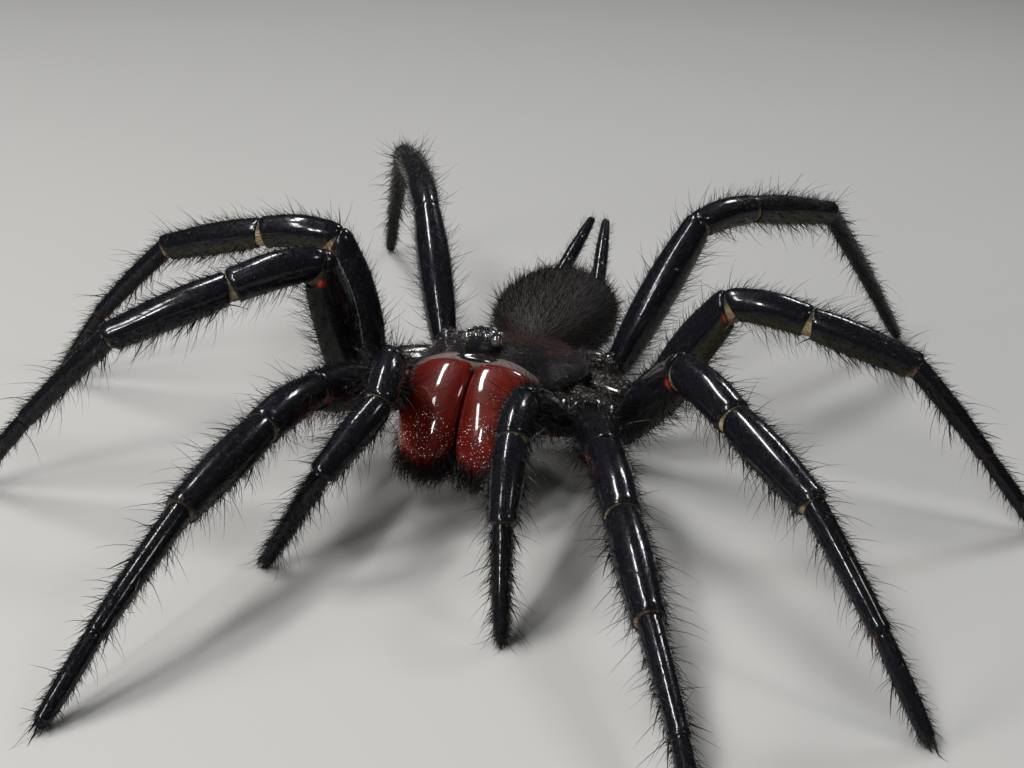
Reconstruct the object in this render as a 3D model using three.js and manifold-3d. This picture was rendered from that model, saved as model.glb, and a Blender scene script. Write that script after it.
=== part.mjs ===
import * as THREE from 'three';
import { mergeVertices } from 'three/addons/utils/BufferGeometryUtils.js';
import Module from 'manifold-3d';

// A black funnel-web kind of spider with red jaws, standing with its legs spread and its
// spinnerets raised. Millimetres, +Z up. It faces -Y, so its left side is +X.
// Every solid is the animal's outline out to the tips of its short hair.

// Driving sizes. The body's own frame has its zero in the middle of the carapace, at the
// height of its rim in front. Places are [out from the midline, along Y, up] in it.
const rimHeight = 5.8;
const bodyPitch = 1.6; // degrees that the rear is tipped up
const carapace = {
  width: 9.2, length: 11.75, front: -6.25, head: 2.55, headWidth: 3.4, chest: 1.25, keel: 0.3,
  rearSink: 1.1,
};
const abdomen = { width: 8, length: 10.8, height: 5.4, middle: [0, 10.4, -1.5] };
const sternum = { width: 4.4, length: 7.8, thickness: 1.1, middle: [0, -0.3, -2.15] };
const pedicel = { width: 1.5, length: 2.6, thickness: 1.1, middle: [0, 4.6, -1.65] };
const eyeMound = { width: 2.1, length: 1.5, height: 0.8, middle: [0, -4.9, 2.4] };
const jaw = {
  width: 3.75, length: 5.8, root: [1.7, -5.4, 0.6], tipOut: 1.55, depth: 3.8, tipDepth: 3.1, crest: 0.5,
  // how steeply, in degrees, a jaw goes down at places from its root, 0, to its tip, 1
  slopes: [[0, 30], [0.35, 33], [0.7, 44], [1, 84]],
};
const fang = {
  out: 1.45, hub: [-7.4, -1.45], bend: 2.6, from: 46, to: 134, rootRadius: 0.6, tipRadius: 0.25,
};
const spinneret = { base: [1.4, 15.2, -1.3], tip: [0.45, 20.8, 1.7] };
const seam = 0.05; // open gap between neighbouring solids
const hair = 0.1; // depth of the short hair on the legs
const footHeight = 0.4; // height of the middle of a foot's rounded tip
const limbSides = 8;
const up = new THREE.Vector3(0, 0, 1);
const sides = { left: 1, right: -1 };

// The eyes of one side: one in front near the midline, a larger one at the side and two
// small ones behind, each with its place and its radius.
const eyes = [
  { place: [0.27, -5.4, 2.9], radius: 0.22 },
  { place: [0.78, -5.3, 2.74], radius: 0.3 },
  { place: [0.82, -4.75, 2.86], radius: 0.22 },
  { place: [0.44, -4.6, 3.06], radius: 0.18 },
];

// For each pair of limbs: the lengths of femur, patella, tibia, metatarsus and tarsus, with
// no metatarsus on the palps, the root where the coxa leaves the sternum, the hip where the
// femur starts, and how stout the limb is.
const limbPairs = {
  palp: {
    lengths: [6.2, 3.2, 4.7, 5.2], root: [1.5, -4.3, -1.7], hip: [4.6, -6.6, -0.5], stout: 0.86,
  },
  leg_1: {
    lengths: [8.6, 5.4, 7.3, 7.2, 4.3], root: [2.3, -2.6, -1.75], hip: [5.8, -5.1, -1.1], stout: 1,
  },
  leg_2: {
    lengths: [9.3, 4.8, 6.6, 6.4, 4.7], root: [2.8, -0.7, -1.75], hip: [7.8, -4.2, -1.4], stout: 0.98,
  },
  leg_3: {
    lengths: [7.5, 4.4, 6, 6.1, 4.7], root: [2.8, 1.4, -1.75], hip: [8.1, 0.8, -2.1], stout: 0.95,
  },
  leg_4: {
    lengths: [9.6, 4.6, 8.1, 9.5, 4.6], root: [2.1, 3.3, -1.75], hip: [5.2, 4.8, -1.9], stout: 0.9,
  },
};

// The stance. A limb bends in one plane: heading is that plane's turn outward from straight
// ahead, lean is how far its top is tipped outward, and rises are the slopes of its segments
// within it, in degrees, all but the last, which comes down to the floor. The palps' segments
// are also turned out of the plane, by turns.
const stance = {
  palp_left: { heading: 4, lean: -16, rises: [28, -15, -35.5], turns: [0, -2, -3, -7] },
  palp_right: { heading: 2, lean: -26.5, rises: [39, -23, -36.5], turns: [0, -23, 2, 5] },
  leg_1_left: { heading: 21.5, lean: -8, rises: [12.5, -10, -12.5, -12] },
  leg_1_right: { heading: 5.5, lean: -5, rises: [18.5, -1.5, -11, -25.5] },
  leg_2_left: { heading: 41, lean: -11, rises: [40, -9, -14, -39.5] },
  leg_2_right: { heading: 49.5, lean: -21.5, rises: [71.5, -15.5, -24, -52.5] },
  leg_3_left: { heading: 89, lean: 0.5, rises: [60, -5, -15, -45.5] },
  leg_3_right: { heading: 86.5, lean: 2, rises: [70.5, -3, -15.5, -48] },
  leg_4_left: { heading: 149.5, lean: -2.5, rises: [54, 3, -10.5, -45.5] },
  leg_4_right: { heading: 154.5, lean: -3, rises: [37, 11.5, -5, -40.5] },
};

// Outlines of the segments: pairs of a place along the segment, from 0 to 1, and a radius.
// depth is the section's height over its width.
const segmentKinds = {
  coxa: { outline: [[0, 0.82], [0.45, 1.02], [0.76, 0.82], [1, 0.9]], depth: 1.2 },
  femur: { outline: [[0, 0.82], [0.2, 1.02], [0.55, 1.17], [1, 0.98]], depth: 1.08 },
  patella: { outline: [[0, 0.94], [0.5, 1.01], [1, 0.9]], depth: 1 },
  tibia: { outline: [[0, 0.85], [0.15, 0.94], [0.6, 0.93], [1, 0.78]], depth: 1 },
  metatarsus: { outline: [[0, 0.6], [0.35, 0.58], [1, 0.47]], depth: 1 },
  tarsus: { outline: [[0, 0.42], [0.7, 0.43], [1, 0.36]], depth: 1 },
  palpTarsus: { outline: [[0, 0.6], [0.35, 0.58], [1, 0.47]], depth: 1 },
};
const spinneretOutline = [[0, 0.42], [0.35, 0.44], [0.7, 0.36], [1, 0.2]];

// The solids that each limb is divided into: a name, and the first and last segment.
const legSegments = ['coxa', 'femur', 'patella', 'tibia', 'metatarsus', 'tarsus'];
const legParts = [['base', 0, 0], ['femur', 1, 1], ['patella', 2, 2], ['tibia', 3, 3], ['foot', 4, 5]];
const palpSegments = ['coxa', 'femur', 'patella', 'tibia', 'palpTarsus'];
const palpParts = [['femur', 0, 1], ['tibia', 2, 3], ['tarsus', 4, 4]];

const limbBlack = { color: 0x0b0b0f, roughness: 0.28, metalness: 0 };
const coatBrown = { color: 0x17120f, roughness: 0.75, metalness: 0 };
const shellBlack = { color: 0x121113, roughness: 0.35, metalness: 0 };
const jawRed = { color: 0x9c1a10, roughness: 0.22, metalness: 0 };
const fangBlack = { color: 0x080606, roughness: 0.2, metalness: 0 };
const lensBlack = { color: 0x0a0a0c, roughness: 0.08, metalness: 0 };

const wasm = await Module();
wasm.setup();

const { degToRad, lerp, smoothstep } = THREE.MathUtils;

function bump(value, middle, reach) {
  return Math.exp(-(((value - middle) / reach) ** 2));
}

// Turns the sine or cosine of a round section into that of a fuller, squarish one.
function squared(value, power) {
  return Math.sign(value) * Math.abs(value) ** power;
}

function mirrored(place, side) {
  return new THREE.Vector3(...place).multiply(new THREE.Vector3(side, 1, 1));
}

function withMergedCorners(geometry) {
  const bare = new THREE.BufferGeometry();
  bare.setAttribute('position', geometry.getAttribute('position').clone());
  bare.setIndex(geometry.getIndex());
  return mergeVertices(bare, 1e-5);
}

// A closed geometry becomes a solid once its doubled corners are merged and the triangles
// that collapse at its poles are dropped.
function solidOf(geometry) {
  const merged = withMergedCorners(geometry);
  const corners = merged.getIndex().array;
  const kept = [];
  for (let i = 0; i < corners.length; i += 3) {
    const [a, b, c] = corners.slice(i, i + 3);
    if (a !== b && b !== c && c !== a) {
      kept.push(a, b, c);
    }
  }
  return new wasm.Manifold(new wasm.Mesh({
    numProp: 3,
    vertProperties: merged.getAttribute('position').array,
    triVerts: Uint32Array.from(kept),
  }));
}

function geometryOf(solid) {
  const mesh = solid.getMesh();
  const geometry = new THREE.BufferGeometry();
  geometry.setAttribute('position', new THREE.BufferAttribute(mesh.vertProperties, 3));
  geometry.setIndex(new THREE.BufferAttribute(mesh.triVerts, 1));
  geometry.computeVertexNormals();
  return geometry;
}

function addMesh(parent, name, solid, finish) {
  const mesh = new THREE.Mesh(geometryOf(solid), new THREE.MeshStandardMaterial(finish));
  mesh.name = name;
  parent.add(mesh);
  return mesh;
}

function moved(solid, matrix) {
  return solid.transform(matrix.elements);
}

// A sphere's points, moved by a rule. The sphere's poles lie on Y, and the rule is given the
// place between them, from -1 in front to 1 behind, the ring's radius there, from 0 to 1,
// and the point's direction in the ring, as across and above.
function moulded(around, along, rule) {
  const sphere = new THREE.SphereGeometry(1, around, along);
  const position = sphere.getAttribute('position');
  const point = new THREE.Vector3();
  for (let i = 0; i < position.count; i += 1) {
    point.fromBufferAttribute(position, i);
    const ring = Math.hypot(point.x, point.z);
    const atPole = ring < 1e-6;
    const across = atPole ? 0 : point.x / ring;
    const above = atPole ? 0 : point.z / ring;
    point.copy(rule(point.y, atPole ? 0 : ring, across, above));
    position.setXYZ(i, point.x, point.y, point.z);
  }
  return sphere;
}

// The same closed geometry with its skin moved outward, to cut a neighbour clear of it.
function grown(geometry, amount) {
  const merged = withMergedCorners(geometry);
  merged.computeVertexNormals();
  const position = merged.getAttribute('position');
  const normal = merged.getAttribute('normal');
  const point = new THREE.Vector3();
  const outward = new THREE.Vector3();
  for (let i = 0; i < position.count; i += 1) {
    point.fromBufferAttribute(position, i);
    point.addScaledVector(outward.fromBufferAttribute(normal, i), amount);
    position.setXYZ(i, point.x, point.y, point.z);
  }
  return merged;
}

// ---- Body ----

// The carapace is blunt in front, widest in the middle, domed over the head, and has a low
// chest with a shallow pit. Its rim sinks towards the rear.
function carapaceGeometry(around = 20, along = 12) {
  const { width, length, front, head, headWidth, chest, keel, rearSink } = carapace;
  const pit = 0.3;
  const rearDrop = 0.6;
  return moulded(around, along, (place, ring, across, above) => {
    const y = front + (length * (place + 1)) / 2;
    const blunt = ring ** lerp(0.13, 0.42, smoothstep(place, -1, -0.3));
    const taper = lerp(0.8, 1, smoothstep(place, -0.9, 0)) * lerp(1, 0.64, smoothstep(place, 0.1, 1));
    const x = (width / 2) * taper * blunt * across;
    const overHead = head * Math.exp(-((x / headWidth) ** 4)) * (1 - smoothstep(y, -3.6, 1.4));
    const overChest = chest - pit * bump(y, 1.4, 0.9) * bump(x, 0, 0.9) - rearDrop * smoothstep(y, 1, 5.5);
    const top = Math.max(overHead, overChest) * above ** 0.8;
    const sink = (rearSink * (y - front)) / length;
    return new THREE.Vector3(x, y, blunt * (above > 0 ? top : keel * above) - sink);
  });
}

function abdomenGeometry() {
  const { width, length, height, middle } = abdomen;
  const rearLift = 0.25;
  return moulded(14, 10, (place, ring, across, above) => {
    const swell = ring ** 0.88 * (0.97 + 0.06 * place);
    const x = (width / 2) * swell * across;
    const z = (height / 2) * swell * above + rearLift * smoothstep(place, 0, 1);
    return new THREE.Vector3(middle[0] + x, middle[1] + (length / 2) * place, middle[2] + z);
  });
}

// A shield, narrowed in front at the lip and pointed behind.
function sternumGeometry() {
  const { width, length, thickness, middle } = sternum;
  return moulded(12, 6, (place, ring, across, above) => {
    const taper = 0.7 + 0.3 * smoothstep(place, -1, -0.45) - 0.22 * place;
    const x = (width / 2) * taper * ring ** 0.7 * across;
    const z = (thickness / 2) * ring ** 0.7 * above;
    return new THREE.Vector3(middle[0] + x, middle[1] + (length / 2) * place, middle[2] + z);
  });
}

function pedicelGeometry() {
  const { width, length, thickness, middle } = pedicel;
  return moulded(8, 5, (place, ring, across, above) => {
    const x = (width / 2) * ring ** 0.6 * across;
    const z = (thickness / 2) * ring ** 0.6 * above;
    return new THREE.Vector3(middle[0] + x, middle[1] + (length / 2) * place, middle[2] + z);
  });
}

// Half of the eye mound, with the eyes of that side.
function eyesSolid(side) {
  const { width, length, height, middle } = eyeMound;
  const mound = new THREE.SphereGeometry(1, 8, 5).scale(width / 2, length / 2, height).translate(...middle);
  let solid = solidOf(mound);
  for (const { place, radius } of eyes) {
    const { x, y, z } = mirrored(place, side);
    solid = solid.add(solidOf(new THREE.SphereGeometry(radius, 6, 4).translate(x, y, z)));
  }
  return solid.trimByPlane([side, 0, 0], seam / 2);
}

// The slope of a jaw's middle line at a place from its root, 0, to its tip, 1.
function jawSlope(reach) {
  const { slopes } = jaw;
  const next = slopes.findIndex(([place]) => place > reach);
  if (next < 0) {
    return degToRad(slopes[slopes.length - 1][1]);
  }
  const [[from, before], [to, after]] = [slopes[next - 1], slopes[next]];
  return degToRad(lerp(before, after, (reach - from) / (to - from)));
}

// How far forward and down that middle line has come at a place.
function jawPath(reach) {
  const steps = 60;
  let forward = 0;
  let drop = 0;
  for (let i = 0; i < steps; i += 1) {
    const slope = jawSlope((reach * (i + 0.5)) / steps);
    forward += (jaw.length * reach * Math.cos(slope)) / steps;
    drop += (jaw.length * reach * Math.sin(slope)) / steps;
  }
  return { forward, drop };
}

// A jaw's stout base juts forward from the face, fullest beside the midline, then curves
// down to the fang's root.
function jawGeometry(side, around = 12, along = 9) {
  const { width, length, root, tipOut, depth, tipDepth, crest } = jaw;
  return moulded(around, along, (place, ring, across, above) => {
    const reach = (1 - place) / 2;
    const tilt = jawSlope(reach);
    const { forward, drop } = jawPath(reach);
    const inner = smoothstep(-across * side, -0.35, 0.5);
    const upper = smoothstep(place, -0.2, 0.6);
    const lower = smoothstep(reach, 0.4, 1);
    const blunt = ring ** lerp(0.45, lerp(0.2, 0.16, inner), upper);
    const deepPower = lerp(0.8, lerp(0.75, 0.6, inner), upper);
    const widePower = lerp(0.95, lerp(1, 0.75, inner), upper);
    const halfDepth = lerp(depth, tipDepth, smoothstep(reach, 0.25, 1)) / 2;
    const deep = halfDepth * blunt * squared(above, deepPower);
    const wide = (width / 2) * lerp(1, 0.86, lower) * blunt * squared(across, widePower);
    const inward = crest * lerp(1, 0.4, lower) * Math.max(above, 0) ** 1.5 * blunt;
    return new THREE.Vector3(
      side * (lerp(root[0], tipOut, lower) - inward) + wide,
      root[1] - forward - deep * Math.sin(tilt),
      root[2] - drop + deep * Math.cos(tilt),
    );
  });
}

// The fang is an arc that hangs from the jaw's end and lies folded back below it.
function fangGeometry(side) {
  return moulded(8, 8, (place, ring, across, above) => {
    const reach = (place + 1) / 2;
    const turn = degToRad(lerp(fang.from, fang.to, reach));
    const thick = lerp(fang.rootRadius, fang.tipRadius, reach) * ring ** 0.6;
    const radius = fang.bend - thick * above;
    return new THREE.Vector3(
      side * fang.out + thick * across,
      fang.hub[0] - radius * Math.cos(turn),
      fang.hub[1] - radius * Math.sin(turn),
    );
  });
}

// ---- Limbs ----

// One segment stands on the origin and points along Y, with a round cap at either end.
function segmentGeometry(length, outline, stout, depth, margin) {
  const stations = outline.map(([place, radius]) => {
    return new THREE.Vector2(radius * stout + margin, place * length);
  });
  const first = stations[0].x;
  const last = stations[stations.length - 1].x;
  const profile = [
    new THREE.Vector2(0, -first),
    new THREE.Vector2(first * Math.SQRT1_2, -first * Math.SQRT1_2),
    ...stations,
    new THREE.Vector2(last * Math.SQRT1_2, length + last * Math.SQRT1_2),
    new THREE.Vector2(0, length + last),
  ];
  return new THREE.LatheGeometry(profile, limbSides).scale(1, 1, depth);
}

// A frame with its Y axis along a segment and its Z axis towards the top of the limb.
function segmentFrame(from, to, rise) {
  const along = to.clone().sub(from).normalize();
  const side = along.clone().cross(rise).normalize();
  const top = side.clone().cross(along);
  return new THREE.Matrix4().makeBasis(side, along, top).setPosition(from);
}

// A limb's joints, from the coxa's root to the foot, the up direction of its bending plane
// and the kinds of its segments. The last segment's slope brings the foot to the floor.
function limbChain(pairName, sideName, kinds, bodyMatrix) {
  const plan = limbPairs[pairName];
  const pose = stance[`${pairName}_${sideName}`];
  const side = sides[sideName];
  const heading = degToRad(pose.heading);
  const lean = degToRad(pose.lean);
  const beside = new THREE.Vector3(side * Math.cos(heading), Math.sin(heading), 0);
  const rise = up.clone().multiplyScalar(Math.cos(lean)).addScaledVector(beside, Math.sin(lean));
  const joints = [plan.root, plan.hip].map((place) => mirrored(place, side).applyMatrix4(bodyMatrix));
  plan.lengths.forEach((length, i) => {
    const from = joints[joints.length - 1];
    const toFloor = Math.asin((footHeight - from.z) / (length * Math.cos(lean)));
    const slope = i < pose.rises.length ? degToRad(pose.rises[i]) : toFloor;
    const turned = heading + degToRad(pose.turns?.[i] ?? 0);
    const out = new THREE.Vector3(side * Math.sin(turned), -Math.cos(turned), 0);
    const to = from.clone().addScaledVector(out, length * Math.cos(slope));
    joints.push(to.addScaledVector(rise, length * Math.sin(slope)));
  });
  return { joints, rise, kinds, stout: plan.stout };
}

// The segments of a chain from first to last, joined, in place.
function limbSolid(chain, first, last, margin) {
  const pieces = chain.kinds.slice(first, last + 1).map((kind, i) => {
    const [start, end] = chain.joints.slice(first + i, first + i + 2);
    const { outline, depth } = segmentKinds[kind];
    const geometry = segmentGeometry(start.distanceTo(end), outline, chain.stout, depth, margin);
    return moved(solidOf(geometry), segmentFrame(start, end, chain.rise));
  });
  return pieces.reduce((joined, piece) => joined.add(piece));
}

// Keeps the part of a solid that lies ahead of a plane, given by a point and a direction.
function keptAhead(solid, point, direction) {
  return solid.trimByPlane(direction.toArray(), direction.dot(point) + seam / 2);
}

// The direction that halves the bend at a joint: segments end at the plane across it.
function jointDirection(joints, i) {
  const inward = joints[i].clone().sub(joints[i - 1]).normalize();
  const outward = joints[i + 1].clone().sub(joints[i]).normalize();
  return inward.add(outward).normalize();
}

// Makes one mesh from the segments first to last, cut free of the segments before and after
// them, of the floor and of the solids that they pass.
function addLimbPart(parent, name, chain, first, last, obstacles) {
  const { joints } = chain;
  const end = last + 1;
  let solid = limbSolid(chain, first, last, hair);
  if (first > 0) {
    solid = keptAhead(solid, joints[first], jointDirection(joints, first));
  }
  if (end < joints.length - 1) {
    solid = keptAhead(solid, joints[end], jointDirection(joints, end).negate());
  } else {
    solid = keptAhead(solid, new THREE.Vector3(0, 0, -seam / 2), up);
  }
  for (const obstacle of obstacles) {
    solid = solid.subtract(obstacle);
  }
  const frame = segmentFrame(joints[first], joints[first + 1], chain.rise);
  const mesh = addMesh(parent, name, moved(solid, frame.clone().invert()), limbBlack);
  mesh.applyMatrix4(frame);
}

// ---- The whole animal ----

const spider = new THREE.Group();
const body = new THREE.Group();
body.position.z = rimHeight;
body.rotation.x = degToRad(bodyPitch);
body.updateMatrix();
spider.add(body);

const clearOfCarapace = solidOf(grown(carapaceGeometry(14, 9), 4 * seam));
const clearOfAbdomen = solidOf(grown(abdomenGeometry(), seam));
const clearOfSternum = solidOf(grown(sternumGeometry(), seam));
const clearOfJaws = Object.values(sides).map((side) => solidOf(grown(jawGeometry(side, 8, 6), 4 * seam)));

addMesh(body, 'carapace', solidOf(carapaceGeometry()), shellBlack);
addMesh(body, 'abdomen', solidOf(abdomenGeometry()).subtract(clearOfCarapace), coatBrown);
addMesh(body, 'sternum', solidOf(sternumGeometry()), shellBlack);
const waist = solidOf(pedicelGeometry()).subtract(clearOfCarapace).subtract(clearOfAbdomen);
addMesh(body, 'pedicel', waist, shellBlack);

for (const [sideName, side] of Object.entries(sides)) {
  const jawSolid = solidOf(jawGeometry(side)).subtract(clearOfCarapace);
  addMesh(body, `chelicera_${sideName}`, jawSolid.trimByPlane([side, 0, 0], seam / 2), jawRed);
  const fangSolid = clearOfJaws.reduce((left, cut) => left.subtract(cut), solidOf(fangGeometry(side)));
  addMesh(body, `fang_${sideName}`, fangSolid, fangBlack);
  addMesh(body, `eyes_${sideName}`, eyesSolid(side).subtract(clearOfCarapace), lensBlack);

  const base = mirrored(spinneret.base, side);
  const tip = mirrored(spinneret.tip, side);
  const frame = segmentFrame(base, tip, up);
  const rod = solidOf(segmentGeometry(base.distanceTo(tip), spinneretOutline, 1, 1, hair));
  const rodSolid = rod.subtract(moved(clearOfAbdomen, frame.clone().invert()));
  addMesh(body, `spinneret_${sideName}`, rodSolid, limbBlack).applyMatrix4(frame);
}

// Each limb's base stands clear of the body and of the limb in front of it.
const bodySolids = [clearOfCarapace, clearOfSternum, ...clearOfJaws]
  .map((solid) => moved(solid, body.matrix));

for (const sideName of Object.keys(sides)) {
  let obstacles = bodySolids;
  for (const pairName of Object.keys(limbPairs)) {
    const isPalp = pairName === 'palp';
    const chain = limbChain(pairName, sideName, isPalp ? palpSegments : legSegments, body.matrix);
    for (const [part, first, last] of isPalp ? palpParts : legParts) {
      const passed = first < 2 ? obstacles : [];
      addLimbPart(spider, `${pairName}_${part}_${sideName}`, chain, first, last, passed);
    }
    obstacles = [...bodySolids, limbSolid(chain, 0, 1, hair + seam)];
  }
}

// The floor is at zero, under the middle of the animal's box.
spider.updateMatrixWorld(true);
const box = new THREE.Box3().setFromObject(spider, true);
const middle = box.getCenter(new THREE.Vector3());
spider.position.set(-middle.x, -middle.y, -box.min.z);

export default spider;
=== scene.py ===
import math
from collections import namedtuple

import bpy
import numpy as np
from mathutils import Matrix, Vector


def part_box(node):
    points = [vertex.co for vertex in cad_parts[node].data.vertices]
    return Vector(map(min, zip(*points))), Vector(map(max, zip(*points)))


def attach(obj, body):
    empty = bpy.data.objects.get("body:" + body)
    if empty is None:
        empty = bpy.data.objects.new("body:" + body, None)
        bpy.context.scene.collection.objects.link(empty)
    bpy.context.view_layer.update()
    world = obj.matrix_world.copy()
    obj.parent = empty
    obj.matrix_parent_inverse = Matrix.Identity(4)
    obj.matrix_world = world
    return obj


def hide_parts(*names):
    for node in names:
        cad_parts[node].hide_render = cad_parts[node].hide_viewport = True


# A black funnel-web kind of spider with red jaws. Shapes are worked out in millimetres in the
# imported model's frame: +Z up, the spider faces -Y and its left side is +X.

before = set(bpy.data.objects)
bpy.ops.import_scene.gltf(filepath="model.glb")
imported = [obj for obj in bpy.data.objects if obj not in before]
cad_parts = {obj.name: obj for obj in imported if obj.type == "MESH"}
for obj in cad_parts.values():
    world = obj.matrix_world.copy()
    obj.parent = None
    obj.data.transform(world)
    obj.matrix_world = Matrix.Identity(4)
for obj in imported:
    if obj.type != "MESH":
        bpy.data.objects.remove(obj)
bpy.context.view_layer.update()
millimetre = 0.001
sides = {"left": 1, "right": -1}


# Camera, floor and light

view = {
    "azimuth": 14.86, "elevation": 20.99, "roll": 3.47,  # degrees
    "distance": 103.84, "target": (0.052, -1.335, 5.22),  # mm
    "lens": 67.67, "sensor": 36.0,
}

floorPlan = {"width": 1400.0, "colours": ((0.27, 0.27, 0.267), (0.3, 0.3, 0.297))}
worldPlan = {"colour": (0.86, 0.89, 0.93, 1), "strength": 0.045}
lampTarget = (0, 0, 4)

# Each light: azimuth, elevation, distance, roll, width and height in degrees and mm, watts, colour.
# The low fill reaches under the palps and leaves no glint of its own.
lightPlan = {
    "frontStrip": (-35, 53, 273, 41, 22, 125, 0.45, (1.0, 0.985, 0.96)),
    "frontDash": (-9, 40, 240, 10, 9, 45, 0.17, (1.0, 0.99, 0.97)),
    "backStrip": (-115, 64, 242, -67, 22, 115, 0.47, (1.0, 0.985, 0.96)),
    "rearLight": (165, 42, 240, 0, 40, 30, 0.13, (0.95, 0.97, 1.0)),
    "sideFill": (85, 48, 260, 0, 40, 40, 0.1, (1.0, 0.97, 0.93)),
    "lowFill": (-34, 12, 260, 0, 120, 60, 0.8, (1.0, 0.97, 0.93)),
}


def directionFrom(azimuth, elevation):
    turn, rise = math.radians(azimuth), math.radians(elevation)
    return Vector((math.sin(turn) * math.cos(rise), -math.cos(turn) * math.cos(rise), math.sin(rise)))


def placeLooking(thing, target, azimuth, elevation, distance, roll=0.0):
    back = directionFrom(azimuth, elevation)
    right = Vector((math.cos(math.radians(azimuth)), math.sin(math.radians(azimuth)), 0))
    up = back.cross(right)
    turn = math.radians(roll)
    across = right * math.cos(turn) + up * math.sin(turn)
    above = up * math.cos(turn) - right * math.sin(turn)
    matrix = Matrix((across, above, back)).transposed().to_4x4()
    matrix.translation = (Vector(target) + back * distance) * millimetre
    thing.matrix_world = matrix


def addToScene(name, data):
    thing = bpy.data.objects.new(name, data)
    bpy.context.scene.collection.objects.link(thing)
    return thing


def makeCamera():
    data = bpy.data.cameras.new("camera")
    data.lens = view["lens"]
    data.sensor_width = view["sensor"]
    data.clip_start = millimetre
    camera = addToScene("camera", data)
    placeLooking(camera, view["target"], view["azimuth"], view["elevation"], view["distance"], view["roll"])
    bpy.context.scene.camera = camera


def makeLights():
    for name, (azimuth, elevation, distance, roll, width, height, watts, colour) in lightPlan.items():
        data = bpy.data.lights.new(name, "AREA")
        data.shape = "RECTANGLE"
        data.size = width * millimetre
        data.size_y = height * millimetre
        data.energy = watts
        data.color = colour
        lamp = addToScene(name, data)
        lamp.visible_glossy = name != "lowFill"
        placeLooking(lamp, lampTarget, azimuth, elevation, distance, roll)
    world = bpy.data.worlds.new("studio")
    world.use_nodes = True
    background = world.node_tree.nodes["Background"]
    background.inputs["Color"].default_value = worldPlan["colour"]
    background.inputs["Strength"].default_value = worldPlan["strength"]
    bpy.context.scene.world = world
    bpy.context.scene.view_settings.view_transform = "Standard"


# Finishes

class Wire:
    # A shader value. Sums on wires add Math nodes.
    def __init__(self, tree, socket):
        self.tree = tree
        self.socket = socket

    def combine(self, operation, first, second):
        node = self.tree.nodes.new("ShaderNodeMath")
        node.operation = operation
        for socket, value in zip(node.inputs, (first, second)):
            if isinstance(value, Wire):
                self.tree.links.new(value.socket, socket)
            else:
                socket.default_value = value
        return Wire(self.tree, node.outputs[0])

    def __add__(self, other):
        return self.combine("ADD", self, other)

    def __radd__(self, other):
        return self.combine("ADD", other, self)

    def __sub__(self, other):
        return self.combine("SUBTRACT", self, other)

    def __rsub__(self, other):
        return self.combine("SUBTRACT", other, self)

    def __mul__(self, other):
        return self.combine("MULTIPLY", self, other)

    def __rmul__(self, other):
        return self.combine("MULTIPLY", other, self)

    def greater(self, other):
        return self.combine("MAXIMUM", self, other)

    def lesser(self, other):
        return self.combine("MINIMUM", self, other)


class Finish:
    def __init__(self, name, fixed):
        self.material = bpy.data.materials.new(name)
        self.material.use_nodes = True
        self.tree = self.material.node_tree
        self.shader = self.tree.nodes["Principled BSDF"]
        for socket, value in fixed.items():
            self.shader.inputs[socket].default_value = value
        values = {0: self.node("ShaderNodeTexCoord", output="Object"), "Scale": 1 / millimetre}
        self.place = self.node("ShaderNodeVectorMath", {"operation": "SCALE"}, values)

    def node(self, kind, settings=None, values=None, output=0):
        node = self.tree.nodes.new(kind)
        for name, value in (settings or {}).items():
            setattr(node, name, value)
        for socket, value in (values or {}).items():
            if isinstance(value, Wire):
                self.tree.links.new(value.socket, node.inputs[socket])
            else:
                node.inputs[socket].default_value = value
        return Wire(self.tree, node.outputs[output])

    def noise(self, perMm, detail=3.0, rough=0.55, stretch=None):
        where = self.place
        if stretch:
            where = self.node("ShaderNodeVectorMath", {"operation": "MULTIPLY"}, {0: where, 1: stretch})
        values = {"Vector": where, "Scale": perMm, "Detail": detail, "Roughness": rough}
        return self.node("ShaderNodeTexNoise", {}, values)

    def cells(self, perMm, low, high):
        values = {"Vector": self.place, "Scale": perMm}
        return self.between(self.node("ShaderNodeTexVoronoi", {}, values, "Distance"), low, high)

    def mask(self, name):
        return self.node("ShaderNodeAttribute", {"attribute_name": name}, {}, "Fac")

    def between(self, value, low, high):
        values = {"Value": value, "From Min": low, "From Max": high}
        return self.node("ShaderNodeMapRange", {"interpolation_type": "SMOOTHSTEP"}, values)

    def mixed(self, share, first, second):
        first, second = ((*c, 1) if isinstance(c, tuple) else c for c in (first, second))
        return self.node("ShaderNodeMix", {"data_type": "RGBA"}, {0: share, 6: first, 7: second}, 2)

    def colour(self, value):
        self.tree.links.new(value.socket, self.shader.inputs["Base Color"])

    def rough(self, value):
        self.tree.links.new(value.socket, self.shader.inputs["Roughness"])

    def coat(self, value):
        self.tree.links.new(value.socket, self.shader.inputs["Coat Weight"])

    def relief(self, height):
        # height is in mm
        values = {"Height": height, "Distance": millimetre, "Strength": 1.0}
        bumped = self.node("ShaderNodeBump", {}, values, "Normal")
        self.tree.links.new(bumped.socket, self.shader.inputs["Normal"])


def makeFloor():
    finish = Finish("paleFloor", {"Specular IOR Level": 0.25})
    finish.colour(finish.mixed(finish.noise(0.01, 2), *floorPlan["colours"]))
    finish.rough(finish.noise(0.05, 2) * 0.1 + 0.6)
    half = floorPlan["width"] / 2 * millimetre
    corners = [(-half, -half, 0), (half, -half, 0), (half, half, 0), (-half, half, 0)]
    mesh = bpy.data.meshes.new("floor")
    mesh.from_pydata(corners, [], [(0, 1, 2, 3)])
    mesh.materials.append(finish.material)
    addToScene("floor", mesh)


makeCamera()
makeLights()
makeFloor()
print("stage: camera, lights and floor")


# Shape helpers

def smooth(low, high, value):
    share = np.clip((value - low) / (high - low), 0, 1)
    return share * share * (3 - 2 * share)


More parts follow.
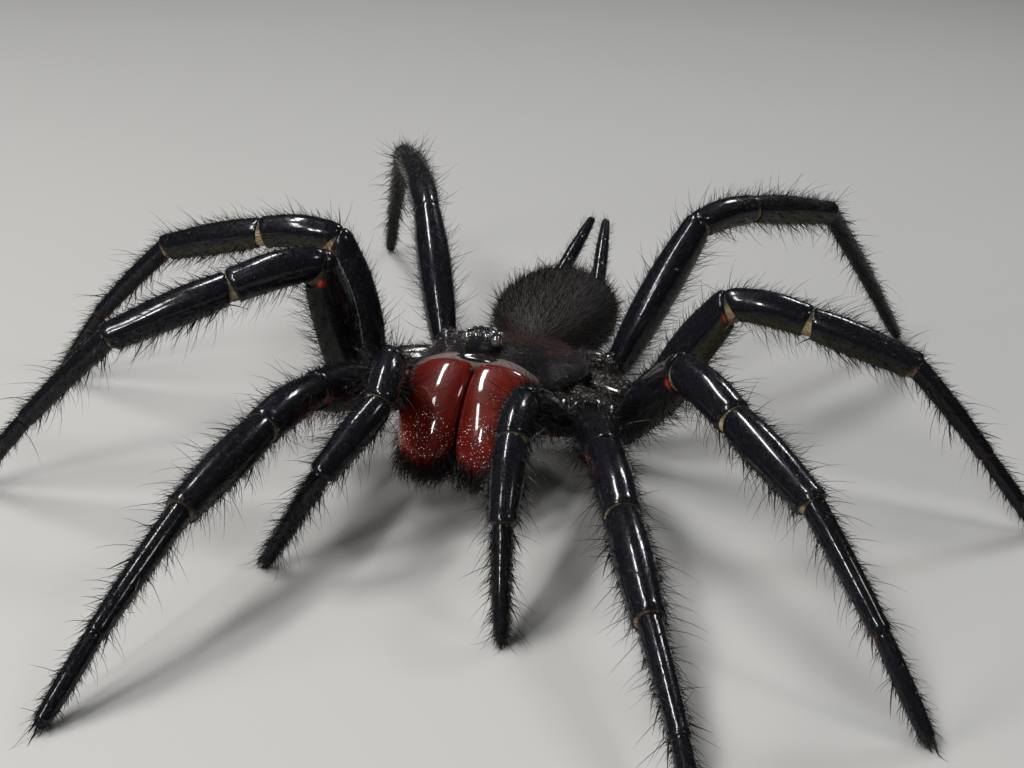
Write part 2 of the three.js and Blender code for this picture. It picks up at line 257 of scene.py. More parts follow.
def bump(value, middle, reach):
    return np.exp(-(((value - middle) / reach) ** 2))


def blended(first, second, share):
    return first + (second - first) * share


def unit(vectors):
    return vectors / np.maximum(np.linalg.norm(vectors, axis=-1, keepdims=True), 1e-12)


def squared(value, power):
    return np.sign(value) * np.abs(value) ** power


def curveThrough(outline):
    places, radii = zip(*outline)
    return np.poly1d(np.polyfit(places, radii, len(places) - 1))


def ringAngles(count):
    return np.linspace(0, 2 * np.pi, count, endpoint=False) - np.pi / 2


# A surface is a grid of points: rows run along the part and columns run round it.
# Its fields are numbers at each point, which finishes and hair read.
def makeSurface(points, patch, **fields):
    closed = np.concatenate([points[:, -1:], points, points[:, :1]], axis=1)
    around = closed[:, 2:] - closed[:, :-2]
    along = np.gradient(points, axis=0)
    length = np.linalg.norm(np.diff(points, axis=0), axis=2).mean(1)
    run = np.concatenate([[0], np.cumsum(length)])
    left, bottom, width, height = patch
    rows, columns = points.shape[:2]
    share = np.arange(columns + 1) / columns
    uv = np.broadcast_arrays(left + width * (run / run[-1])[:, None], bottom + height * share)
    grids = {name: np.broadcast_to(value, (rows, columns)).astype(float) for name, value in fields.items()}
    return {"points": points, "normals": unit(np.cross(along, around)), "along": unit(along),
            "uv": np.stack(uv, axis=2), "fields": grids}


def meshObject(name, points, corners, sizes, finishes, uv, fields, finishOf=None):
    mesh = bpy.data.meshes.new(name)
    mesh.vertices.add(len(points))
    mesh.vertices.foreach_set("co", (points * millimetre).astype(np.float32).ravel())
    mesh.loops.add(len(corners))
    mesh.loops.foreach_set("vertex_index", corners.astype(np.int32))
    mesh.polygons.add(len(sizes))
    starts = np.concatenate([[0], np.cumsum(sizes)[:-1]]).astype(np.int32)
    mesh.polygons.foreach_set("loop_start", starts)
    mesh.polygons.foreach_set("loop_total", sizes.astype(np.int32))
    mesh.polygons.foreach_set("use_smooth", np.ones(len(sizes), bool))
    if finishOf is not None:
        mesh.polygons.foreach_set("material_index", finishOf.astype(np.int32))
    for field, values in fields.items():
        layer = mesh.attributes.new(field, "FLOAT", "POINT")
        layer.data.foreach_set("value", values.astype(np.float32).ravel())
    layer = mesh.uv_layers.new(name="OFBake")
    layer.data.foreach_set("uv", uv.astype(np.float32).ravel())
    mesh.update(calc_edges=True)
    mesh.validate()
    for finish in finishes:
        mesh.materials.append(finish.material)
    return addToScene(name, mesh)


# One mesh from several surfaces, each closed at both ends by a fan of triangles.
def meshFromSurfaces(name, surfaces, finishes, fieldNames, finishOf=None):
    points, corners, sizes, uvs, indices = [], [], [], [], []
    fields = {field: [] for field in fieldNames}
    offset = 0
    for number, surface in enumerate(surfaces):
        grid, uv = surface["points"], surface["uv"]
        rows, columns = grid.shape[:2]
        ends = np.stack([grid[0].mean(0), grid[-1].mean(0)])
        points += [grid.reshape(-1, 3), ends]
        for field in fieldNames:
            values = surface["fields"].get(field, np.zeros((rows, columns)))
            fields[field] += [values.ravel(), [values[0].mean(), values[-1].mean()]]
        i, j = np.meshgrid(np.arange(rows - 1), np.arange(columns), indexing="ij")
        k = (j + 1) % columns
        near, far = i * columns, (i + 1) * columns
        quads = np.stack([near + j, far + j, far + k, near + k], axis=2)
        quadUv = np.stack([uv[i, j], uv[i + 1, j], uv[i + 1, j + 1], uv[i, j + 1]], axis=2)
        j = np.arange(columns)
        k = (j + 1) % columns
        last = (rows - 1) * columns
        first = np.stack([np.full(columns, rows * columns), j, k], axis=1)
        final = np.stack([last + j, np.full(columns, rows * columns + 1), last + k], axis=1)
        middle = (uv[:, :-1] + uv[:, 1:]) / 2
        firstUv = np.stack([middle[0], uv[0, :-1], uv[0, 1:]], axis=1)
        finalUv = np.stack([uv[-1, :-1], middle[-1], uv[-1, 1:]], axis=1)
        corners += [(quads + offset).ravel(), (first + offset).ravel(), (final + offset).ravel()]
        sizes += [np.full(quads.shape[0] * columns, 4), np.full(columns * 2, 3)]
        uvs += [quadUv.reshape(-1, 2), firstUv.reshape(-1, 2), finalUv.reshape(-1, 2)]
        faceCount = quads.shape[0] * columns + columns * 2
        indices.append(np.full(faceCount, finishOf[number] if finishOf else 0))
        offset += rows * columns + 2
    joined = {field: np.concatenate(values) for field, values in fields.items()}
    return meshObject(name, np.concatenate(points), np.concatenate(corners), np.concatenate(sizes),
                      finishes, np.concatenate(uvs), joined, np.concatenate(indices))


# The body's own frame: its zero is in the middle of the carapace at the height of its rim.
bodyPlan = {"rimHeight": 5.8, "pitch": 1.6, "front": -6.25}
pitch = math.radians(bodyPlan["pitch"])
carapaceLow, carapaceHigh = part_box("carapace")
bodyShift = np.array([
    (carapaceLow.x + carapaceHigh.x) / 2 / millimetre,
    carapaceLow.y / millimetre - bodyPlan["front"] * math.cos(pitch),
    bodyPlan["rimHeight"],
])
bodyTurn = np.array([
    [1, 0, 0],
    [0, math.cos(pitch), -math.sin(pitch)],
    [0, math.sin(pitch), math.cos(pitch)],
])


def fromBody(points):
    return np.asarray(points, float) @ bodyTurn.T + bodyShift


poleGap = 0.012  # radians from a pole to the nearest ring


# A closed shape between two poles on Y, by a rule as in a lathe: place runs from -1 in front to
# 1 behind, ring is the radius of a unit sphere there, across and above the direction in the ring.
def mouldedSurface(rows, columns, patch, rule, **fields):
    place = -np.cos(np.linspace(poleGap, np.pi - poleGap, rows))[:, None]
    place, angle = np.broadcast_arrays(place, ringAngles(columns)[None, :])
    across, above = np.cos(angle), np.sin(angle)
    points = rule(place, np.sqrt(1 - place**2), across, above)
    made = {name: value(place, across, above) if callable(value) else value for name, value in fields.items()}
    return makeSurface(fromBody(points), patch, place=place, across=across, above=above, **made)


# Limbs

limbPlan = {
    "sides": 32,
    "footHeight": 0.4,
    "rim": 0.045,  # rounding of a segment's edge
    "pairs": {
        "palp": {"lengths": (6.2, 3.2, 4.7, 5.2), "root": (1.5, -4.3, -1.7), "hip": (4.6, -6.6, -0.5),
                 "stout": 0.86},
        "leg_1": {"lengths": (8.6, 5.4, 7.3, 7.2, 4.3), "root": (2.3, -2.6, -1.75), "hip": (5.8, -5.1, -1.1),
                  "stout": 1.0},
        "leg_2": {"lengths": (9.3, 4.8, 6.6, 6.4, 4.7), "root": (2.8, -0.7, -1.75), "hip": (7.8, -4.2, -1.4),
                  "stout": 0.98},
        "leg_3": {"lengths": (7.5, 4.4, 6.0, 6.1, 4.7), "root": (2.8, 1.4, -1.75), "hip": (8.1, 0.8, -2.1),
                  "stout": 0.95},
        "leg_4": {"lengths": (9.6, 4.6, 8.1, 9.5, 4.6), "root": (2.1, 3.3, -1.75), "hip": (5.2, 4.8, -1.9),
                  "stout": 0.9},
    },
    # heading and lean of the plane in which a limb bends, then the slopes of its segments, in degrees
    "stance": {
        "palp_left": (4, -16, (28, -15, -35.5)),
        "palp_right": (2, -26.5, (39, -23, -36.5)),
        "leg_1_left": (21.5, -8, (12.5, -10, -12.5, -12)),
        "leg_1_right": (5.5, -5, (18.5, -1.5, -11, -25.5)),
        "leg_2_left": (41, -11, (40, -9, -14, -39.5)),
        "leg_2_right": (49.5, -21.5, (71.5, -15.5, -24, -52.5)),
        "leg_3_left": (89, 0.5, (60, -5, -15, -45.5)),
        "leg_3_right": (86.5, 2, (70.5, -3, -15.5, -48)),
        "leg_4_left": (149.5, -2.5, (54, 3, -10.5, -45.5)),
        "leg_4_right": (154.5, -3, (37, 11.5, -5, -40.5)),
    },
    # how far the palps' segments are turned out of that plane, in degrees
    "turns": {"palp_left": (0, -2, -3, -7), "palp_right": (0, -23, 2, 5)},
    # for each kind of segment: places along it with radii, section's height over width, rows of points
    "outlines": {
        "coxa": (((0, 0.82), (0.59, 1.02), (1, 0.84)), 1.2, 16),
        "trochanter": (((0, 0.84), (0.5, 0.93), (1, 0.88)), 1.2, 10),
        "femur": (((0, 0.82), (0.2, 1.02), (0.55, 1.17), (1, 0.88)), 1.08, 40),
        "patella": (((0, 0.88), (0.5, 1.0), (1, 0.9)), 1.0, 30),
        "tibia": (((0, 0.85), (0.15, 0.94), (0.6, 0.93), (1, 0.78)), 1.0, 30),
        "metatarsus": (((0, 0.6), (0.35, 0.58), (1, 0.47)), 1.0, 30),
        "tarsus": (((0, 0.42), (0.7, 0.43), (1, 0.36)), 1.0, 22),
        "palpTarsus": (((0, 0.6), (0.35, 0.56), (1, 0.4)), 1.0, 28),
    },
    # skin that shows after each kind of segment: its width at the top and underneath, its inset,
    # redness and paleness
    "joints": {
        "coxa": (0.06, 0.16, 0.1, 0.1, 0.3),
        "trochanter": (0.06, 0.3, 0.08, 0.0, 0.5),
        "femur": (0.02, 0.95, 0.1, 0.1, 0.55),
        "patella": (0.06, 0.78, 0.06, 0.0, 1.0),
        "tibia": (0.03, 0.5, 0.08, 0.2, 0.6),
        "metatarsus": (0.05, 0.14, 0.06, 0.9, 0.0),
    },
    "elbow": 1.1,  # length over which the outer side of a bent joint is rounded
    "knuckle": 0.8,  # how far inside the limb's middle line the rounding has its centre
    "bow": {"femur": 0.14, "patella": 0.2, "tibia": 0.06, "metatarsus": 0.08, "palpTarsus": 0.08},
    # painted light: the undersides of legs 3 and 4 are made paler and yellow-olive, as if lit from the bright
    # ground
    "groundBounce": {"leg_4": 0.9, "leg_3": 0.35},
    "trochanterFrom": 0.76,  # share of the way from root to hip
    "collar": (0.03, 0.3, 0.2),  # height, distance from a segment's end and reach
    "crowding": 0.62,  # how much closer rows of points lie near a segment's ends
    "folds": 0.035,  # depth of the folds of joint skin, as a share of its radius
    "tipLength": 0.3,
    "floorGap": 0.012,
}
legKinds = ("coxa", "trochanter", "femur", "patella", "tibia", "metatarsus", "tarsus")
palpKinds = ("coxa", "trochanter", "femur", "patella", "tibia", "palpTarsus")
kindCodes = {kind: number for number, kind in enumerate((*legKinds, "palpTarsus"))}


def limbChain(pair, side):
    plan = limbPlan["pairs"][pair]
    heading, lean, rises = limbPlan["stance"][f"{pair}_{side}"]
    heading, lean = math.radians(heading), math.radians(lean)
    sign = sides[side]
    beside = np.array([sign * math.cos(heading), math.sin(heading), 0])
    rise = np.array([0, 0, math.cos(lean)]) + beside * math.sin(lean)
    root, hip = (fromBody(np.array(plan[end]) * (sign, 1, 1)) for end in ("root", "hip"))
    joints = [root, blended(root, hip, limbPlan["trochanterFrom"]), hip]
    turns = limbPlan["turns"].get(f"{pair}_{side}", (0,) * len(plan["lengths"]))
    for length, degrees, turn in zip(plan["lengths"], (*rises, None), turns):
        turned = heading + math.radians(turn)
        out = np.array([sign * math.sin(turned), -math.cos(turned), 0])
        if degrees is None:  # the last segment comes down to the floor
            slope = math.asin((limbPlan["footHeight"] - joints[-1][2]) / (length * math.cos(lean)))
        else:
            slope = math.radians(degrees)
        joints.append(joints[-1] + out * length * math.cos(slope) + rise * length * math.sin(slope))
    return {"joints": joints, "rise": rise, "kinds": palpKinds if pair == "palp" else legKinds,
            "stout": plan["stout"], "pair": pair, "side": side}


def segmentAxes(start, end, rise):
    along = unit(end - start)
    side = unit(np.cross(along, rise))
    return side, along, np.cross(side, along)


# Slopes, across and above, of the plane that halves the bend at a joint, in a segment's axes.
def mitre(axes, before, after):
    side, along, top = axes
    halving = unit(unit(before) + unit(after))
    return -halving @ side / (halving @ along), -halving @ top / (halving @ along)


def ringPlaces(length, rows, rim):
    edge = rim * np.array([0, 0.12, 0.45, 1.0])
    share = np.linspace(0, 1, rows - 6)[1:-1]
    crowded = share - limbPlan["crowding"] * np.sin(2 * np.pi * share) / (2 * np.pi)
    return np.concatenate([edge, rim + (length - 2 * rim) * crowded, length - edge[::-1]])


def segmentRings(chain, number):
    joints, kinds, rise = chain["joints"], chain["kinds"], chain["rise"]
    kind = kinds[number]
    outline, depth, rows = limbPlan["outlines"][kind]
    start, end = joints[number], joints[number + 1]
    axes = segmentAxes(start, end, rise)
    length = float(np.linalg.norm(end - start))
    rim = limbPlan["rim"]
    places = ringPlaces(length, rows, rim)
    radius = curveThrough(outline)(places / length) * chain["stout"]
    for gap in (places, length - places):
        radius = radius - rim + np.sqrt(np.maximum(rim**2 - np.maximum(rim - gap, 0) ** 2, 0))
    height, distance, reach = limbPlan["collar"]
    radius += height * bump(length - places, distance, reach) * (number < len(kinds) - 1)
    angle = ringAngles(limbPlan["sides"])
    x = radius[:, None] * np.cos(angle)
    z = radius[:, None] * np.sin(angle) * depth
    y = np.repeat(places[:, None], len(angle), axis=1)
    shift = np.zeros_like(y)
    for atEnd in (False, True):
        inner = number + 1 if atEnd else number
        if not 0 < inner < len(joints) - 1:
            continue
        top, under = limbPlan["joints"][kinds[inner - 1]][:2]
        before, after = joints[inner] - joints[inner - 1], joints[inner + 1] - joints[inner]
        slopeX, slopeZ = mitre(axes, before, after)
        sign = 1 if atEnd else -1
        half = blended(under, top, (np.sin(angle) + 1) / 2) / 2
        cut = slopeX * x + slopeZ * z
        zone = min(1.8 * float(np.abs(cut).max()) + 0.3, 0.62 * length)
        gap = length - places if atEnd else places
        near = (np.clip(1 - gap / zone, 0, 1) ** 1.5)[:, None]
        # the outer side of a bend goes round an arc, the inner side is cut at the mitre
        steep = max(math.hypot(slopeX, slopeZ), 1e-6)
        outer = cut * sign / steep
        inside = limbPlan["knuckle"] * min(steep * 1.5, 1)
        reach = np.maximum(outer + inside, 0)
        far = np.clip(gap / limbPlan["elbow"], 0, 1)[:, None]
        turn = math.atan(steep) * (1 - far) ** 1.4
        held = limbPlan["elbow"] * (far - 2 * far**2 + far**3) * min(steep * 2, 1)
        back = (steep * np.maximum(inside, -outer) + half) * near
        shift += sign * (reach * np.sin(turn) + held - back)
        sunk = sign * reach * (1 - np.cos(turn)) / steep
        x, z = x - slopeX * sunk, z - slopeZ * sunk
    y = y + shift
    z = z + limbPlan["bow"].get(kind, 0) * np.sin(np.pi * places / length)[:, None]
    side, along, topward = axes
    points = start + x[..., None] * side + y[..., None] * along + z[..., None] * topward
    return points, places / length


def limbSurface(chain, patch):
    kinds, joints = chain["kinds"], chain["joints"]
    segments = [segmentRings(chain, number) for number in range(len(kinds))]
    grids, columns = [], []

    # rows of points with their places along a kind of segment, their softness, redness and paleness
    def addRows(points, places, kind, soft=0, rosy=0, pale=0):
        grids.append(points)
        columns.append(np.stack(np.broadcast_arrays(places, kindCodes[kind], soft, rosy, pale), axis=1))

    for number, (points, places) in enumerate(segments):
        addRows(points, places, kinds[number])
        if number + 1 < len(segments):
            _, _, inset, red, light = limbPlan["joints"][kinds[number]]
            share = np.array([0.0, 0.16, 0.33, 0.5, 0.67, 0.84, 1.0])
            bridge = blended(points[-1][None], segments[number + 1][0][0][None], share[:, None, None])
            centre = bridge.mean(axis=1, keepdims=True)
            folds = 1 - inset - limbPlan["folds"] * np.cos(share * 6 * np.pi)
            bridge = centre + (bridge - centre) * folds[:, None, None]
            addRows(bridge, np.ones(len(share)), kinds[number], 1, red, light)
    tip = segments[-1][0][-1]
    forward = unit(joints[-1] - joints[-2])
    centre = tip.mean(0)
    for turn in np.radians([18, 36, 54, 70, 84]):
        ring = centre + (tip - centre) * math.cos(turn) + forward * math.sin(turn) * limbPlan["tipLength"]
        addRows(ring[None], np.ones(1), kinds[-1])
    points = np.concatenate(grids)
    points[..., 2] = np.maximum(points[..., 2], limbPlan["floorGap"])
    names = ("place", "kind", "soft", "rosy", "pale")
    fields = {name: column[:, None] for name, column in zip(names, np.concatenate(columns).T)}
    angle = ringAngles(limbPlan["sides"])
    isKind = {kind: fields["kind"] == code for kind, code in kindCodes.items()}
    atKnee = isKind["femur"] * smooth(0.93, 0.97, fields["place"]) * (1 - fields["soft"])
    atKnee = atKnee * (chain["pair"] != "palp")
    fields["ember"] = atKnee * bump(np.sin(angle)[None, :], -0.3, 0.16)
    fields["palp"] = float(chain["pair"] == "palp")
    # painted ground light on the undersides of legs 3 and 4, up to the metatarsus
    fields["groundBounce"] = limbPlan["groundBounce"].get(chain["pair"], 0) * (fields["kind"] < kindCodes["metatarsus"])
    fields["hip"] = isKind["coxa"] + 0.6 * isKind["trochanter"]
    return makeSurface(points, patch, across=np.cos(angle)[None, :], above=np.sin(angle)[None, :], **fields)


# Patches of the unwrap: two columns of limbs below, the body's parts above them.
unwrap = {"left": {"left": 0.01, "right": 0.51}, "bottom": 0.01, "row": 0.095, "size": (0.46, 0.085)}
wholeSheet = (0.02, 0.02, 0.96, 0.96)


def limbPatch(chain):
    row = list(limbPlan["pairs"]).index(chain["pair"])
    return unwrap["left"][chain["side"]], unwrap["bottom"] + row * unwrap["row"], *unwrap["size"]


chains = [limbChain(pair, side) for side in sides for pair in limbPlan["pairs"]]
limbSurfaces = [limbSurface(chain, limbPatch(chain)) for chain in chains]


# Soft body: abdomen, waist, sternum, lip and spinnerets

abdomenPlan = {"width": 8.0, "length": 10.8, "height": 5.4, "middle": (0, 10.4, -1.5), "coat": 0.32,
               "lift": 0.25}
sternumPlan = {"width": 4.4, "length": 7.8, "thickness": 1.1, "middle": (0, -0.3, -2.15), "coat": 0.06}
waistPlan = {"width": 1.4, "length": 2.6, "thickness": 1.1, "middle": (0, 4.6, -1.65)}
flankPlan = {"width": 7.9, "length": 10.4, "thickness": 1.5, "middle": (0, -0.9, -1.0), "fold": 0.05}
lipPlan = {"width": 1.3, "length": 1.1, "thickness": 0.7, "middle": (0, -4.35, -2.1)}
spinneretPlan = {
    "base": (1.4, 15.2, -1.3), "tip": (0.45, 20.8, 1.7),
    "outline": ((0, 0.46), (0.35, 0.46), (0.7, 0.39), (1, 0.24)),
    "joints": (0.36, 0.7), "jointWidth": 0.012, "jointDepth": 0.16,
    "shortBase": (0.5, 15.4, -1.9), "shortTip": (0.45, 16.5, -1.75), "shortRadius": 0.24,
}


def abdomenRule(place, ring, across, above):
    plan = abdomenPlan
    swell = ring**0.88 * (0.97 + 0.06 * place)
    x = (plan["width"] / 2 - plan["coat"]) * swell * across
    z = (plan["height"] / 2 - plan["coat"]) * swell * above + plan["lift"] * smooth(0, 1, place)
    y = (plan["length"] / 2 - plan["coat"]) * place
    return np.stack([x, y, z], axis=-1) + plan["middle"]


def sternumRule(place, ring, across, above):
    plan = sternumPlan
    taper = 0.7 + 0.3 * smooth(-1, -0.45, place) - 0.22 * place
    x = (plan["width"] / 2 - plan["coat"]) * taper * ring**0.7 * across
    z = (plan["thickness"] / 2 - plan["coat"]) * ring**0.7 * above
    return np.stack([x, plan["length"] / 2 * place, z], axis=-1) + plan["middle"]


def ovalRule(plan, power):
    def rule(place, ring, across, above):
        swell = ring**power * (1 + plan.get("fold", 0) * np.sin(place * 21 + above * 5))
        x = plan["width"] / 2 * swell * across
        z = plan["thickness"] / 2 * swell * above
        return np.stack([x, plan["length"] / 2 * place, z], axis=-1) + plan["middle"]
    return rule


def rodSurface(side, ends, share, radius, angle, patch, **fields):
    start, end = (fromBody(np.array(spinneretPlan[key]) * (sides[side], 1, 1)) for key in ends)
    right, along, top = segmentAxes(start, end, np.array([0, 0, 1.0]))
    out = np.cos(angle)[:, None] * right + np.sin(angle)[:, None] * top
    centre = start + along * (share * np.linalg.norm(end - start))[:, None]
    return makeSurface(centre[:, None] + radius[:, None, None] * out, patch, place=share[:, None], **fields)


def spinneretSurface(side, patch):
    plan = spinneretPlan
    share = np.concatenate([np.linspace(0, 0.985, 70), [0.992, 0.997, 1.0]])
    tip = np.sqrt(np.clip(1 - ((share - 0.97) / 0.031).clip(0) ** 2, 0, 1))
    radius = curveThrough(plan["outline"])(share) * tip
    atJoints = [bump(share, joint, plan["jointWidth"]) for joint in plan["joints"]]
    for atJoint in atJoints:
        radius = radius * (1 - plan["jointDepth"] * atJoint)
    angle = ringAngles(20)
    fields = {"soft": sum(atJoints)[:, None], "across": np.cos(angle), "above": np.sin(angle)}
    return rodSurface(side, ("base", "tip"), share, radius, angle, patch, **fields)


def shortSpinneretSurface(side, patch):
    share = np.linspace(0, 1, 20)
    radius = spinneretPlan["shortRadius"] * np.sqrt(1 - 0.999 * share**4)
    return rodSurface(side, ("shortBase", "shortTip"), share, radius, ringAngles(16), patch)


abdomenSurface = mouldedSurface(84, 96, (0.01, 0.52, 0.4, 0.46), abdomenRule)
sternumSurface = mouldedSurface(40, 48, (0.43, 0.52, 0.2, 0.2), sternumRule)
waistSurface = mouldedSurface(20, 32, (0.65, 0.52, 0.1, 0.1), ovalRule(waistPlan, 0.6), soft=0.5)
flankSkin = {"soft": 1.0, "rosy": 0.1, "pale": 0.2}
flankSurface = mouldedSurface(90, 60, (0.87, 0.52, 0.12, 0.3), ovalRule(flankPlan, 0.5), **flankSkin)
lipSurface = mouldedSurface(20, 28, (0.77, 0.52, 0.08, 0.08), ovalRule(lipPlan, 0.7))
spinneretRows = {"left": 0.74, "right": 0.86}  # where their patches of the unwrap start
spinnerets = [spinneretSurface(side, (0.43, low, 0.26, 0.1)) for side, low in spinneretRows.items()]
spinnerets += [shortSpinneretSurface(side, (0.72, low, 0.06, 0.06)) for side, low in spinneretRows.items()]
skinFields = ("soft", "rosy", "pale", "hip", "palp", "groundBounce", "above", "ember")


def makeLimbFinish():
    finish = Finish("blackCuticle", {
        "IOR": 1.5, "Specular IOR Level": 0.07, "Specular Tint": (0.86, 0.88, 1.0, 1),
        "Coat IOR": 1.33, "Coat Roughness": 0.1, "Coat Tint": (0.97, 0.98, 1.0, 1),
    })
    soft, rosy, pale, hip, palp, groundBounce, above, ember = (finish.mask(name) for name in skinFields)
    under = finish.between(above, 0.1, -0.9)
    mottle = finish.noise(1.6, 4)
    fine = finish.noise(11, 3)
    creases = finish.noise(4, 3)
    black = finish.mixed(fine, (0.0015, 0.0015, 0.002), (0.005, 0.005, 0.0075))
    olive = finish.mixed(mottle, (0.002, 0.0025, 0.0015), (0.009, 0.009, 0.004))
    shell = finish.mixed(under * finish.between(mottle, 0.3, 0.65) * 0.85, black, olive)
    # painted light from the bright ground: yellow-olive on the undersides of legs 3 and 4
    groundBounce = groundBounce * finish.between(above, 0.0, -0.5)
    shell = finish.mixed(groundBounce * (0.4 + mottle), shell, (0.045, 0.044, 0.015))
    skin = finish.mixed(creases, (0.02, 0.018, 0.01), (0.08, 0.07, 0.045))
    paleSkin = finish.mixed(creases, (0.1, 0.075, 0.045), (0.28, 0.22, 0.13))
    skin = finish.mixed(pale * 0.9, skin, paleSkin)
    skin = finish.mixed(rosy, skin, (0.09, 0.008, 0.005))
    shell = finish.mixed(hip * (0.2 + mottle * 0.7), shell, (0.016, 0.011, 0.005))
    shell = finish.mixed(hip * palp * finish.between(creases, 0.3, 0.6), shell, (0.075, 0.04, 0.018))
    # pale flecks on the hips' upper sides: painted glints, standing partly for silvery hairs
    silverGlintFlecks = finish.between(finish.noise(5, 3, 0.7), 0.56, 0.68) * finish.between(above, -0.1, 0.4)
    shell = finish.mixed(hip * silverGlintFlecks * 0.75, shell, (0.24, 0.24, 0.27))
    shell = finish.mixed(ember * 0.95, shell, (0.28, 0.03, 0.007))
    showing = finish.between(above, 0.65, 0.15).greater(pale * 0.3)
    bare = finish.between(soft, 0.3, 0.8) * showing
    finish.colour(finish.mixed(bare, shell, skin))
    finish.rough(0.2 + finish.between(mottle, 0.3, 0.75) * 0.15 + soft * 0.2 + under * 0.2)
    finish.coat((1 - under * 0.92) * (1 - soft * 0.6) * (0.65 + 0.35 * finish.between(mottle, 0.35, 0.6)))
    pits = finish.cells(5.5, 0.0, 0.36)
    lumps = finish.noise(3.5, 2) * (0.016 + hip * 0.05) + finish.noise(2, 2) * hip * 0.2
    finish.relief(pits * 0.018 + fine * 0.007 + lumps + creases * soft * 0.06)
    return finish


def makeAbdomenFinish():
    finish = Finish("abdomenSkin", {"Specular IOR Level": 0.3})
    mottle = finish.noise(0.9, 4)
    wrinkles = finish.noise(3.2, 4, 0.6, (1.0, 2.6, 1.0))
    finish.colour(finish.mixed(mottle, (0.003, 0.002, 0.002), (0.01, 0.007, 0.006)))
    finish.rough(0.5 + mottle * 0.25)
    finish.relief(wrinkles * 0.07 + finish.noise(12, 2) * 0.01)
    return finish


skinSurfaces = [
    *limbSurfaces, sternumSurface, waistSurface, flankSurface, lipSurface, *spinnerets, abdomenSurface,
]
skinFinishes = [makeLimbFinish(), makeAbdomenFinish()]
finishOf = [0] * (len(skinSurfaces) - 1) + [1]
skin = meshFromSurfaces("skin", skinSurfaces, skinFinishes, skinFields, finishOf)
shellNodes = ["carapace", *(f"{part}_{side}" for part in ("chelicera", "eyes", "fang") for side in sides)]
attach(skin, "root")
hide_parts(*(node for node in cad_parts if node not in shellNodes))
print("stage: skin,", len(skin.data.polygons), "faces")


# Carapace

carapacePlan = {
    "width": 9.2, "length": 11.75, "front": -6.25, "head": 2.55, "headWidth": 3.4, "chest": 1.25, "keel": 0.3,
    "rearSink": 1.1, "coat": 0.03, "pitPlace": 1.4,
    "rays": (38, 74, 104, 138), "rayDepth": 0.07,  # shallow grooves that run out from the pit, in degrees
}


def carapaceRule(place, ring, across, above):
    plan = carapacePlan
    y = plan["front"] + plan["length"] * (place + 1) / 2
    blunt = ring ** blended(0.13, 0.42, smooth(-1, -0.3, place))
    taper = blended(0.8, 1, smooth(-0.9, 0, place)) * blended(1, 0.64, smooth(0.1, 1, place))
    x = (plan["width"] / 2 - plan["coat"]) * taper * blunt * across
    overHead = plan["head"] * np.exp(-((x / plan["headWidth"]) ** 4)) * (1 - smooth(-3.6, 1.4, y))
    behind = y - plan["pitPlace"]
    pit = 0.3 * bump(behind, 0, 0.9) * bump(x, 0, 0.9)
    pit = pit + 0.22 * bump(y - 0.25 * x**2, plan["pitPlace"], 0.16) * bump(x, 0, 0.65)
    overChest = plan["chest"] - pit - 0.6 * smooth(1, 5.5, y)
    top = np.logaddexp(overHead * 6, overChest * 6) / 6 - 0.06
    fromPit = np.hypot(x, behind)
    turn = np.degrees(np.arctan2(np.abs(x), -behind))
    rays = plan["rayDepth"] * sum(bump(turn, middle, 4.5) for middle in plan["rays"])
    top = top - rays * smooth(0.9, 1.8, fromPit) * (1 - smooth(0.72, 0.95, np.abs(across) * blunt))
    up = np.maximum(above, 0) ** 0.8
    rimRoll = 0.12 * bump(above, 0.1, 0.09) * blunt
    z = np.where(above > 0, top * up, plan["keel"] * above) * blunt
    z = z - plan["rearSink"] * (y - plan["front"]) / plan["length"]
    x = x + np.sign(across) * rimRoll * 0.4
    return np.stack([x, y, z], axis=-1)


def makeCarapaceFinish():
    finish = Finish("carapaceShell", {
        "IOR": 1.5, "Specular IOR Level": 0.05, "Coat IOR": 1.4, "Coat Roughness": 0.08,
    })
    mottle = finish.noise(1.1, 4)
    brow = finish.mask("brow")
    fine = finish.noise(10, 3)
    dark = finish.mixed(fine, (0.003, 0.003, 0.004), (0.01, 0.009, 0.01))
    brown = finish.mixed(fine, (0.011, 0.005, 0.004), (0.038, 0.015, 0.011))
    rear = finish.between(finish.mask("place"), -0.35, 0.75)
    finish.colour(finish.mixed(finish.between(mottle + rear * 0.3, 0.5, 0.85) * 0.8, dark, brown))
    finish.rough(0.07 + mottle * 0.12 + rear * 0.12)
    finish.coat((brow * 0.9).greater(finish.between(finish.noise(2.6, 3), 0.45, 0.62) * 0.6))
    lumps = finish.noise(3, 2) * 0.07 + finish.noise(6, 2) * (0.05 + brow * 0.08)
    finish.relief(fine * 0.008 + finish.cells(5, 0, 0.4) * 0.014 + lumps)
    return finish


def browField(place, across, above):
    return (1 - smooth(-0.93, -0.82, place)) * smooth(0.35, 0.8, above)


carapaceSurface = mouldedSurface(110, 120, wholeSheet, carapaceRule, brow=browField)
carapace = meshFromSurfaces("carapaceShell", [carapaceSurface], [makeCarapaceFinish()], ("place", "brow"))
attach(carapace, "root")
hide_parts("carapace")
print("stage: carapace")


# Jaws, the skin behind them, and fangs

jawPlan = {
    "width": 3.75, "length": 5.8, "root": (1.7, -5.4, 0.6), "tipOut": 1.55, "depth": 3.8, "tipDepth": 3.1,
    "midline": 0.015, "crest": 0.5,
    "slopes": (30, 33, 44, 84),  # how steeply it goes down at its root, 0.35 and 0.7 of the way and its tip
}
fangPlan = {"out": 1.45, "hub": (-7.4, -1.45), "bend": 2.6, "from": 46, "to": 134, "rootRadius": 0.6,
            "tipRadius": 0.2}
mouthSkinPlan = {"width": 7.7, "length": 1.5, "thickness": 4.2, "middle": (0, -5.8, 0), "fold": 0.006,
                 "dip": 0.1}


